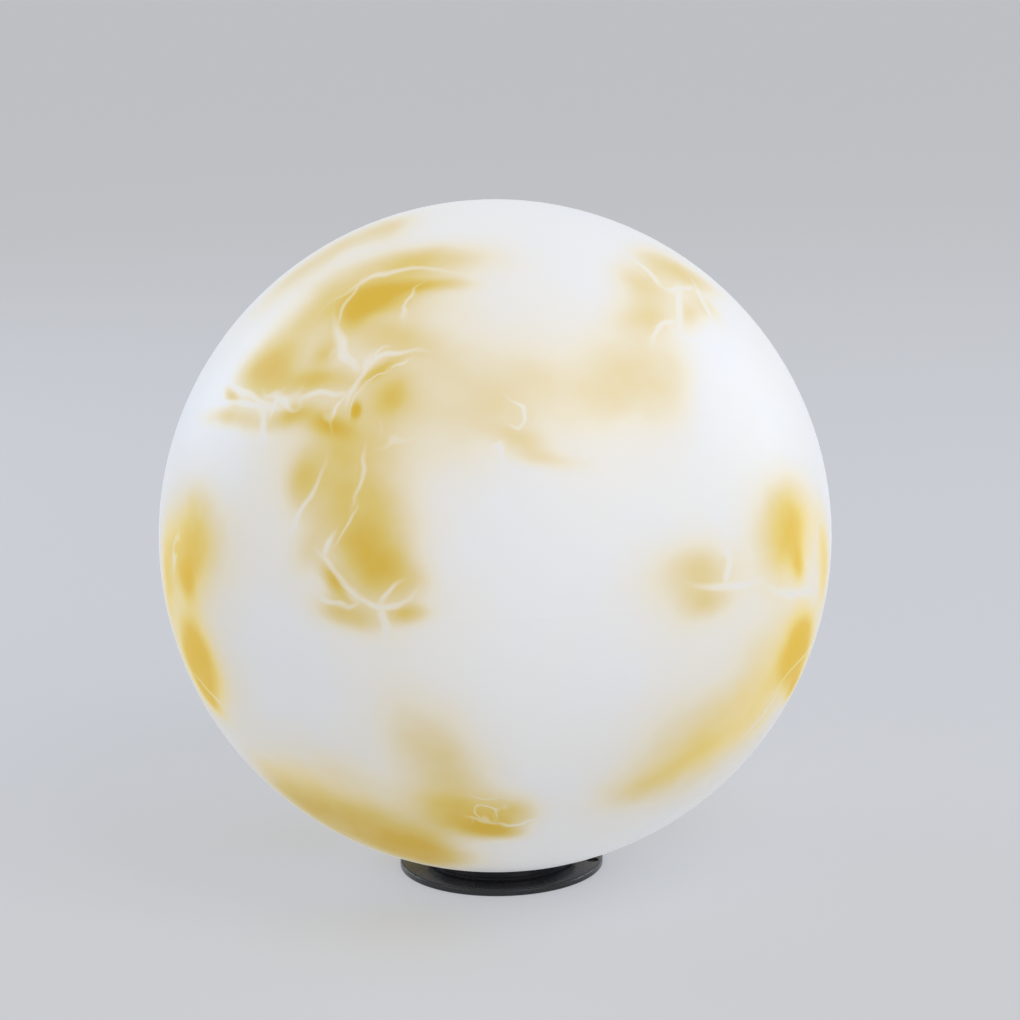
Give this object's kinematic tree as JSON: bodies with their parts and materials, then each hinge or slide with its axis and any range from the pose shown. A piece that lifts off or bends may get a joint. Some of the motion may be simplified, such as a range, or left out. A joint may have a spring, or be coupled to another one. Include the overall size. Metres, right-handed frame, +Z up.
{
  "type": "moon lamp",
  "caption": "Moon lamp: a marbled opal globe that pushes over the collar of a small round black base, with a screw-in bulb in its holder inside.",
  "frame": {"origin": "centre of the base's round underside, on the surface the lamp stands on", "axes": "+Z up along the axis of base, neck and globe; X through the two mounting holes of the flange; -Y to the front"},
  "size_m": [0.3, 0.3, 0.304],
  "materials": {
    "globe": "satin opal plastic, marbled in soft ochre with thin pale veins",
    "base_black": "glossy black moulded plastic",
    "soft_black": "soft matt black rubber",
    "nut_black": "matt black moulded nylon",
    "washer_nylon": "smooth black nylon sheet",
    "screw_steel": "zinc-plated steel",
    "connector_white": "white moulded nylon",
    "contact_brass": "bare drawn brass",
    "plate_white": "white moulded plastic with a fine grain",
    "holder_white": "white heat-resistant moulded plastic",
    "lead_brown": "brown soft insulation",
    "lead_blue": "blue soft insulation",
    "cap_metal": "nickel-plated, rolled thread",
    "insulator_black": "glossy black insulator",
    "bulb_white": "white moulded plastic, slightly rough",
    "bulb_opal": "opal plastic, smooth, unlit",
    "board_white": "white-coated aluminium circuit board",
    "chip_yellow": "yellow phosphor over a white chip body",
    "board_green": "green circuit board",
    "driver_black": "black component sleeves"
  },
  "bodies": {
    "base": {"base_moulding": "base_black", "collar_seal": "soft_black", "cable_grommet": "soft_black", "cable_clamp": "nut_black", "clamp_screws": "screw_steel", "terminal_block": "connector_white", "terminal_inserts": "contact_brass", "wire_screws": "screw_steel", "block_screw": "screw_steel", "holder_plate": "plate_white", "plate_screws": "screw_steel", "holder_screws": "screw_steel", "holder_base": "holder_white", "lamp_holder": "holder_white", "screw_shell": "contact_brass", "centre_contact": "contact_brass", "live_lead": "lead_brown", "neutral_lead": "lead_blue"},
    "washer": {"slip_washer": "washer_nylon"},
    "globe": {"globe_upper_shell": "globe", "globe_lower_shell": "globe", "neck_ring": "base_black", "globe_gasket": "soft_black", "lock_nut": "nut_black"},
    "bulb": {"bulb_tip": "cap_metal", "bulb_insulator": "insulator_black", "bulb_cap": "cap_metal", "bulb_housing": "bulb_white", "bulb_dome": "bulb_opal", "lamp_board": "board_white", "light_chips": "chip_yellow", "driver_board": "board_green", "driver_parts": "driver_black"}
  },
  "joints": [
    {"name": "globe_turn", "type": "hinge", "parent": "base", "child": "washer", "pos_m": [0, 0, 0.003], "axis": [0, 0, 1], "continuous": true},
    {"name": "globe_lift", "type": "slide", "parent": "washer", "child": "globe", "axis": [0, 0, 1], "range_m": [0, 0.125]},
    {"name": "bulb_turn", "type": "hinge", "parent": "base", "child": "bulb", "pos_m": [0, 0, 0.038], "axis": [0, 0, 1], "continuous": true}
  ]
}
